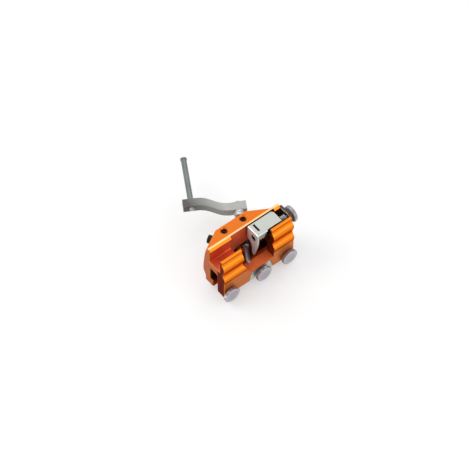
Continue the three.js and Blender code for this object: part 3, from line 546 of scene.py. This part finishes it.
# guide bushings and their set screws
cross = jointAt("crank_turn")
boreAxis = {"right": Vector(jointOf["crank_turn"]["axis"])}
boreAxis["left"] = Vector((-boreAxis["right"].x, boreAxis["right"].y, 0))
bushing = {"sleeve": 5.0, "shoulder": 31.3, "flange": 34.5, "neck": 4.4, "bevel": 0.8, "undercut": 0.2,
           "undercutLength": 0.6, "lead": 0.5, "mouth": 0.3, "round": 0.12}


def bushingProfile(start, end, bore, head):
    sleeve, shoulder, flange, neck = (bushing[key] for key in ("sleeve", "shoulder", "flange", "neck"))
    bevel, lead, mouth = (bushing[key] for key in ("bevel", "lead", "mouth"))
    groove = neck - bushing["undercut"]
    grooveEnd = flange + bushing["undercutLength"]
    return [
        (start, bore + lead), (start, sleeve - bevel), (start + bevel, sleeve), (shoulder, sleeve),
        (shoulder, head), (flange - bevel, head), (flange, head - bevel), (flange, groove),
        (grooveEnd, groove), (grooveEnd + bushing["undercut"], neck), (end - mouth, neck),
        (end, neck - mouth), (end, bore + mouth), (end - mouth, bore), (start + lead, bore),
    ]


for side in ("right", "left"):
    node = "guide_bushing_" + side
    profile = bushingProfile(*reachOf(node, boreAxis[side], cross))
    turnedPiece("bushing_" + side, node, profile, boreAxis[side], cross, bushing["round"],
                finish="bushing_steel")
    dressed("bushing_set_screw_" + side, width=0.12)
print("bushings made")

# cutter: shank, collar and fluted head
shank = {"neck": 2.0, "bevel": 0.6, "round": 0.1}
start, end, _, radius = reachOf("cutter_shank", boreAxis["right"], cross)
turnedPiece("shank", "cutter_shank", [
    (start, 0), (start, shank["neck"]), (start + shank["bevel"], radius), (end - shank["bevel"], radius),
    (end, radius - shank["bevel"]), (end, 0),
], boreAxis["right"], cross, shank["round"])

collar = {"bevel": 0.5, "groove": 0.6, "slope": 0.2, "depth": 0.25, "round": 0.08}
start, end, bore, radius = reachOf("feed_collar", boreAxis["right"], cross)
middle, bed = (start + end) / 2, radius - collar["depth"]
turnedPiece("collar", "feed_collar", [
    (start, bore), (start, radius - collar["bevel"]), (start + collar["bevel"], radius),
    (middle - collar["groove"], radius), (middle - collar["groove"] + collar["slope"], bed),
    (middle + collar["groove"] - collar["slope"], bed), (middle + collar["groove"], radius),
    (end - collar["bevel"], radius), (end, radius - collar["bevel"]), (end, bore),
], boreAxis["right"], cross, collar["round"])

burrHead = {"flutes": 12, "perFlute": 8, "rows": 60, "depth": 0.42, "turn": 0.55, "nose": 2.2, "blunt": 0.96,
            "back": 0.75, "curve": 0.7, "face": 0.99, "chip": 0.12, "chipPitch": 1.9, "chipTurns": 2,
            "chipWidth": 0.1, "smooth": 40}


def toothHeight(share):  # a long curved back, then a steep face
    back = burrHead["back"]
    return 1 - share ** burrHead["curve"] if share < back else (share - back) / (1 - back) * burrHead["face"]


def chipDepth(along, around):  # a second helix breaks the chips
    phase = (along / burrHead["chipPitch"] + around * burrHead["chipTurns"]) % 1.0
    return burrHead["chip"] if abs(phase - 0.5) < burrHead["chipWidth"] else 0.0


def burrMesh():
    tip, back, _, radius = reachOf("cutter_burr", boreAxis["right"], cross)
    count = burrHead["flutes"] * burrHead["perFlute"]
    length = back - tip
    shape = bmesh.new()
    rings = []
    for row in range(burrHead["rows"] + 1):
        along = length * row / burrHead["rows"]
        nose = min(1.0, along / burrHead["nose"])
        scale = math.sqrt(max(0.0, 1 - (1 - nose) ** 2 * burrHead["blunt"]))
        reaches = []
        for k in range(count):
            tooth = toothHeight((k / burrHead["perFlute"]) % 1.0)
            depth = burrHead["depth"] * (1 - tooth) + chipDepth(along, k / count) * tooth
            reaches.append((radius - depth) * scale)
        rings.append(ringAt(shape, tip + along, reaches, 2 * math.pi * burrHead["turn"] * along / length))
    tubeOf(shape, rings, boreAxis["right"], cross)
    return settled("burr", shape, burrHead["smooth"])


burr = addPiece("burr", burrMesh(), "cutter_burr")
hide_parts("cutter_burr")
print("cutter made")

# crank: arm, screw, pin and sleeve
grip = {"pin": 1.9, "rivet": 0.9, "rivetRise": 0.3, "rivetRadii": (2.0, 2.5, 2.8), "head": 2.0, "dome": 0.8,
        "domeEdge": 0.2, "domeRadii": (3.1, 2.2), "bevel": 0.4, "sleeveRim": 0.3, "sides": 48}
boreAcross = Vector((boreAxis["right"].y, -boreAxis["right"].x, 0))
gripOrigin = cross + boreAcross * round((jointAt("grip_spin") - cross).dot(boreAcross), 2)
dressed("crank_arm", width=0.45, steps=3, zones={"arm": lambda centre, normal: True})
dressed("crank_set_screw", width=0.1)
start, end, _, radius = reachOf("grip_pin", boreAxis["right"], gripOrigin)
armFace, headFace = start + grip["rivet"], end - grip["head"]
turnedPiece("grip_rivet_pin", "grip_pin", [
    (start, 0), (start, grip["rivetRadii"][0]), (start + grip["rivetRise"], grip["rivetRadii"][1]),
    (armFace, grip["rivetRadii"][2]), (armFace, grip["pin"]), (headFace, grip["pin"]), (headFace, radius),
    (end - grip["dome"], radius), (end - grip["domeEdge"], grip["domeRadii"][0]),
    (end, grip["domeRadii"][1]), (end, 0),
], boreAxis["right"], gripOrigin, width=0.12, sides=grip["sides"])
start, end, bore, radius = reachOf("grip_sleeve", boreAxis["right"], gripOrigin)
rim = bore + grip["sleeveRim"]
turnedPiece("grip_tube", "grip_sleeve", [
    (start, bore), (start, rim), (start + grip["bevel"], radius), (end - grip["bevel"], radius), (end, rim),
    (end, bore),
], boreAxis["right"], gripOrigin, width=0.1, sides=grip["sides"], finish="grip_steel")
print("crank made")


# helpers for the node trees: named inputs first, then nodes, then real geometry with its material
def treeTools(tree, wanted):
    tree.interface.new_socket("Geometry", in_out="INPUT", socket_type="NodeSocketGeometry")
    for name, kind in wanted:
        tree.interface.new_socket(name, in_out="INPUT", socket_type=kind)
    tree.interface.new_socket("Geometry", in_out="OUTPUT", socket_type="NodeSocketGeometry")

    def add(kind, settings=None, inputs=None):
        node = tree.nodes.new(kind)
        for key, value in (settings or {}).items():
            setattr(node, key, value)
        for key, value in (inputs or {}).items():
            if isinstance(value, bpy.types.NodeSocket):
                tree.links.new(value, node.inputs[key])
            else:
                node.inputs[key].default_value = value
        return node

    return add, add("NodeGroupInput").outputs


def finishTree(tree, add, geometry, material):
    real = add("GeometryNodeRealizeInstances", {}, {"Geometry": geometry}).outputs[0]
    painted = add("GeometryNodeSetMaterial", {}, {"Geometry": real, "Material": material})
    tree.links.new(painted.outputs[0], tree.nodes.new("NodeGroupOutput").inputs[0])


def setInputs(step, values):
    for item in step.node_group.interface.items_tree:
        if item.in_out == "INPUT" and item.name in values:
            step[item.identifier] = values[item.name]


# knurled knob: a turned disc, with its teeth set round the rim by a node tree
def knurlTree():
    tree = bpy.data.node_groups.new("rimTeeth", "GeometryNodeTree")
    add, given = treeTools(tree, (("Count", "NodeSocketInt"), ("Radius", "NodeSocketFloat"),
                                  ("Tooth", "NodeSocketVector"), ("Lift", "NodeSocketFloat"),
                                  ("Material", "NodeSocketMaterial")))
    circle = add("GeometryNodeMeshCircle", {"fill_type": "NONE"},
                 {"Vertices": given["Count"], "Radius": given["Radius"]}).outputs["Mesh"]
    lift = add("ShaderNodeCombineXYZ", {}, {"Z": given["Lift"]}).outputs[0]
    raised = add("GeometryNodeSetPosition", {}, {"Geometry": circle, "Offset": lift}).outputs[0]
    tooth = add("GeometryNodeMeshCube", {}, {"Size": given["Tooth"]}).outputs["Mesh"]
    place = add("GeometryNodeInputPosition").outputs[0]
    flat = add("ShaderNodeVectorMath", {"operation": "MULTIPLY"}, {0: place, 1: (1, 1, 0)}).outputs[0]
    out = add("FunctionNodeAlignEulerToVector", {"axis": "X"}, {"Vector": flat}).outputs[0]
    diamond = add("FunctionNodeRotateEuler", {"space": "LOCAL"},
                  {"Rotation": out, "Rotate By": (0, 0, math.pi / 4)}).outputs[0]
    teeth = add("GeometryNodeInstanceOnPoints", {},
                {"Points": raised, "Instance": tooth, "Rotation": diamond}).outputs[0]
    joined = add("GeometryNodeJoinGeometry")
    tree.links.new(teeth, joined.inputs[0])
    tree.links.new(given["Geometry"], joined.inputs[0])
    finishTree(tree, add, joined.outputs[0], given["Material"])
    return tree


rimTeeth = knurlTree()
knob = {"radius": 8.4, "bevel": 0.55, "boss": 0.9, "dish": 0.3, "dishFrom": 1.5, "dishTo": 6.2,
        "rimFrom": 6.6, "rimTo": 7.5, "backTo": 7.6, "socket": 1.4, "round": 0.12, "sides": 96, "teeth": 54,
        "tooth": 0.5, "toothLength": 2.7}


def knobPiece(node, axis, origin, screwRadius):
    front, back, _, _ = reachOf(node, axis, origin)
    thick, upright, centre = back - front, alongZ, Vector((0, 0, 0))
    shape = turnedShape([
        (knob["bevel"], 0), (knob["bevel"], knob["boss"]), (knob["dish"], knob["dishFrom"]),
        (knob["dish"], knob["dishTo"]), (0.0, knob["rimFrom"]), (0.0, knob["rimTo"]),
        (knob["bevel"], knob["radius"]), (thick - knob["bevel"], knob["radius"]), (thick, knob["backTo"]),
        (thick, screwRadius), (knob["socket"], screwRadius), (knob["socket"], 0),
    ], upright, centre, knob["sides"])
    rounded(shape, knob["round"])
    mesh = settled(node + "_disc", shape)
    latheMarks(mesh, upright, centre)

    def knurl(helper):
        step = helper.modifiers.new("teeth", "NODES")
        step.node_group = rimTeeth
        setInputs(step, {
            "Count": knob["teeth"], "Radius": knob["radius"] * mm, "Lift": thick / 2 * mm,
            "Tooth": (knob["tooth"] * mm, knob["tooth"] * mm, knob["toothLength"] * mm),
            "Material": finishes["knob_metal"],
        })

    whole = baked(node + "_knurled", mesh, knurl)
    whole.transform(onto(axis, origin + axis * front))
    piece = addPiece("knurled_" + node, whole, node)
    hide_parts(node)


# clamp knobs, screws and pads
clamp = {"pitch": 1.0, "threadDepth": 0.5, "knobHole": 3.3, "neck": {"length": 1.4, "radius": 1.5}}
pad = {"bevel": 0.5, "bore": 1.8, "boreDepth": 1.4, "round": 0.08, "sides": 40}
for side in ("left", "middle", "right"):
    clampAt = Vector((jointAt("clamp_turn_" + side).x, 0, 0))
    knobPiece("clamp_knob_" + side, alongY, clampAt, clamp["knobHole"])
    threadedPiece("thread_" + side, "clamp_screw_" + side, clamp["pitch"], clamp["threadDepth"], alongY,
                  clampAt, clamp["neck"])
    start, end, _, radius = reachOf("clamp_pad_" + side, alongY, clampAt)
    turnedPiece("pad_" + side, "clamp_pad_" + side, [
        (end, 0), (end, radius - pad["bevel"]), (end - pad["bevel"], radius), (start + pad["bevel"], radius),
        (start, radius - pad["bevel"]), (start, pad["bore"]), (start + pad["boreDepth"], pad["bore"]),
        (start + pad["boreDepth"], 0),
    ], alongY, clampAt, pad["round"], pad["sides"])
dressed("screw_insert", width=0.15, finish="insert_plate")
print("clamps made")

# stop plate with rounded folds, its carriage and clip
stop = {"top": 50.0, "left": 2.8, "right": 33.8, "rightFold": (-9.9, 0.6), "front": -11.0, "lipEnd": 13.7,
        "lipStart": 4.8, "lipDepth": 0.1, "hem": 44.8, "hemFront": -9.0, "hemLength": 3.0,
        "slitX": (7.4, 9.8), "slitY": (-6.7, 3.1), "slitFacing": 0.5, "flange": 4.5, "near": 0.05}


def isNear(value, key):
    return abs(value - stop[key]) < stop["near"]


def middleOf(edge):
    return (edge.verts[0].co + edge.verts[1].co) / 2 / mm


def onFold(edge):
    middle = middleOf(edge)
    right = isNear(middle.x, "right") and isBetween(middle.y, stop["rightFold"])
    lip = isNear(middle.y, "front") and middle.x < stop["lipEnd"]
    return isNear(middle.z, "top") and (isNear(middle.x, "left") or right or lip)


def onHem(edge):
    middle = middleOf(edge)
    length = abs(edge.verts[0].co.x - edge.verts[1].co.x)
    return isNear(middle.z, "hem") and middle.y < stop["hemFront"] and length > stop["hemLength"] * mm


def isSlitShade(centre, normal):
    inside = isBetween(centre.x, stop["slitX"]) and isBetween(centre.y, stop["slitY"])
    return inside and abs(normal.z) < stop["slitFacing"]


def isShadedLip(centre, normal):
    return centre.y < stop["front"] + stop["lipDepth"] and normal.y < -facing and centre.x > stop["lipStart"]


def isLitFlange(centre, normal):
    return centre.x < stop["flange"] and abs(normal.x) > facing


dressed("chain_stop", width=0.14, folds=[(onFold, 1.1), (onHem, 0.55)],
        zones={"slit": isSlitShade, "lip": isShadedLip, "flange": isLitFlange})
dressed("stop_carriage", width=0.15, finish="carriage_shade_steel")
dressed("carriage_clip", width=0.1)
print("chain stop made")


# wound springs: a node tree sweeps round wire along each path
def sweepTree():
    tree = bpy.data.node_groups.new("roundWire", "GeometryNodeTree")
    add, given = treeTools(tree, (("Radius", "NodeSocketFloat"), ("Sides", "NodeSocketInt"),
                                  ("Material", "NodeSocketMaterial")))
    path = add("GeometryNodeMeshToCurve", {}, {"Mesh": given["Geometry"]}).outputs[0]
    ring = add("GeometryNodeCurvePrimitiveCircle", {},
               {"Resolution": given["Sides"], "Radius": given["Radius"]}).outputs[0]
    tube = add("GeometryNodeCurveToMesh", {}, {"Curve": path, "Profile Curve": ring, "Fill Caps": True})
    finishTree(tree, add, tube.outputs[0], given["Material"])
    return tree


roundWire = sweepTree()
spring = {"sides": 12, "steps": 28, "merge": 1e-7}


def wirePiece(name, node, path, radius, between=None):
    line = bpy.data.meshes.new(name)
    line.from_pydata([point * mm for point in path], [(i, i + 1) for i in range(len(path) - 1)], [])

    def sweep(helper):
        step = helper.modifiers.new("wire", "NODES")
        step.node_group = roundWire
        setInputs(step, {"Radius": radius * mm, "Sides": spring["sides"],
                         "Material": finishes["spring_steel"]})

    shape = bmesh.new()
    shape.from_mesh(baked(name + "_swept", line, sweep))
    bmesh.ops.remove_doubles(shape, verts=shape.verts, dist=spring["merge"])
    bmesh.ops.recalc_face_normals(shape, faces=shape.faces)
    piece = addPiece(name, settled(name, shape), node, rides=between is None)
    if between:  # a coil between two bodies is attached to neither
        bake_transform(piece)
    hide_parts(node)


adjustAt = jointAt("adjust_turn")
adjustOrigin = Vector((0, adjustAt.y, adjustAt.z))


def curls(start, radius, pitch, count):  # a coil round the adjusting screw
    steps = spring["steps"]
    turns = [i / steps for i in range(count * steps + 1)]
    return [
        adjustOrigin + Vector((start + pitch * turn, radius * math.cos(2 * math.pi * turn),
                               radius * math.sin(2 * math.pi * turn)))
        for turn in turns
    ]


pushEnds = {"curls": 4, "lead": 3}  # each end of the push spring runs straight for this many wires
left, right, inner, outer = reachOf("adjuster_spring", alongX, adjustOrigin)
wire = (outer - inner) / 2
pushStart = left + pushEnds["lead"] * wire
pushPitch = (right - pushEnds["lead"] * wire - pushStart) / pushEnds["curls"]
pushCoil = curls(pushStart, outer - wire, pushPitch, pushEnds["curls"])
wirePiece("push_spring", "adjuster_spring", [
    Vector((left, pushCoil[0].y, pushCoil[0].z)), *pushCoil, Vector((right, pushCoil[-1].y, pushCoil[-1].z)),
], wire, between=("carriage", "frame", (left * mm, 0, 0), (right * mm, 0, 0)))
twist = {"start": 6.2, "pitch": 1.35, "wire": 0.4, "radius": 4.85, "curls": 5, "up": 4.2, "down": 7.0}
twistCoil = curls(twist["start"], twist["radius"], twist["pitch"], twist["curls"])
wirePiece("return_spring", "stop_spring", [
    twistCoil[0] - alongZ * twist["down"], *twistCoil, twistCoil[-1] + alongZ * twist["up"],
], twist["wire"])
print("springs made")

# adjusting screw, knob and end bracket
adjust = {"pitch": 0.7, "threadDepth": 0.36, "knobHole": 2.3}
knobPiece("adjusting_knob", -alongX, adjustOrigin, adjust["knobHole"])
threadedPiece("adjusting_thread", "adjusting_screw", adjust["pitch"], adjust["threadDepth"], alongX,
              adjustOrigin)
dressed("screw_bracket", width=0.2, finish="bracket_shade_steel")
for place in ("front", "rear"):
    dressed("bracket_screw_" + place, width=0.12)
print("adjuster made")

# camera: angles in degrees, scale in pixels to the mm, and the pixel of the frame's origin
view = {"alpha": 38.5, "elevation": 54.5, "scale": 1.03, "size": 470, "origin": (247.99, 261.18),
        "lens": 200.0, "sensor": 36.0, "clip": (0.1, 50.0)}
alpha, elevation = math.radians(view["alpha"]), math.radians(view["elevation"])
rightward = Vector((math.cos(alpha), -math.sin(alpha), 0))
back = Vector((-math.sin(alpha) * math.cos(elevation), -math.cos(alpha) * math.cos(elevation),
               math.sin(elevation)))
upward = back.cross(rightward)
half = view["size"] / 2
offset = rightward * (half - view["origin"][0]) + upward * (view["origin"][1] - half)
distance = view["size"] * view["lens"] / (view["sensor"] * view["scale"]) * mm
lens = bpy.data.cameras.new("camera")
lens.lens = view["lens"]
lens.sensor_width = view["sensor"]
lens.clip_start, lens.clip_end = view["clip"]
camera = bpy.data.objects.new("camera", lens)
bpy.context.scene.collection.objects.link(camera)
turned = Matrix((rightward, upward, back)).transposed().to_4x4()
camera.matrix_world = Matrix.Translation(offset / view["scale"] * mm + back * distance) @ turned
bpy.context.scene.camera = camera

# floor and light, in metres
studio = {"floor": -0.0115, "reach": 3.0, "paper": (0.62, 0.62, 0.62, 1), "rough": 0.9, "glow": 0.4,
          "world": 0.7}
lamps = {
    "key": {"place": (-0.45, 0.45, 0.77), "energy": 2.5, "size": 0.5},
    "panel": {"place": (0.36, 0.5, 0.79), "energy": 1.3, "size": 0.9},
    "front": {"place": (0.36, -0.79, 0.43), "energy": 1.5, "size": 0.6},
}
floorMesh = bpy.data.meshes.new("floor")
corners = [(x * studio["reach"], y * studio["reach"], studio["floor"])
           for x, y in ((-1, -1), (1, -1), (1, 1), (-1, 1))]
floorMesh.from_pydata(corners, [], [(0, 1, 2, 3)])
floor = bpy.data.objects.new("floor", floorMesh)
bpy.context.scene.collection.objects.link(floor)
floorFinish = Finish("floor_paper")
floorFinish.surface("Base Color", studio["paper"])
floorFinish.surface("Roughness", studio["rough"])
seen = [
    floorFinish.add("ShaderNodeLightPath", {}, {}, "Is " + kind + " Ray")
    for kind in ("Camera", "Glossy", "Transmission")
]
glow = (seen[0] + seen[1] + seen[2]).clamped() * studio["glow"]
grey = floorFinish.add("ShaderNodeCombineXYZ", {}, {"X": glow, "Y": glow, "Z": glow})
floorFinish.surface("Emission Color", grey)
floorFinish.surface("Emission Strength", 1.0)
floorMesh.materials.append(floorFinish.material)

world = bpy.data.worlds.new("studio")
bpy.context.scene.world = world
world.use_nodes = True
world.node_tree.nodes["Background"].inputs["Color"].default_value = (1, 1, 1, 1)
world.node_tree.nodes["Background"].inputs["Strength"].default_value = studio["world"]
for name, row in lamps.items():
    light = bpy.data.lights.new(name, "AREA")
    light.energy, light.size = row["energy"], row["size"]
    lamp = bpy.data.objects.new(name, light)
    bpy.context.scene.collection.objects.link(lamp)
    lamp.location = row["place"]
    lamp.rotation_mode = "QUATERNION"
    lamp.rotation_quaternion = Vector(row["place"]).to_track_quat("Z", "Y")

bpy.context.scene.view_settings.view_transform = "Standard"
print("scene ready")
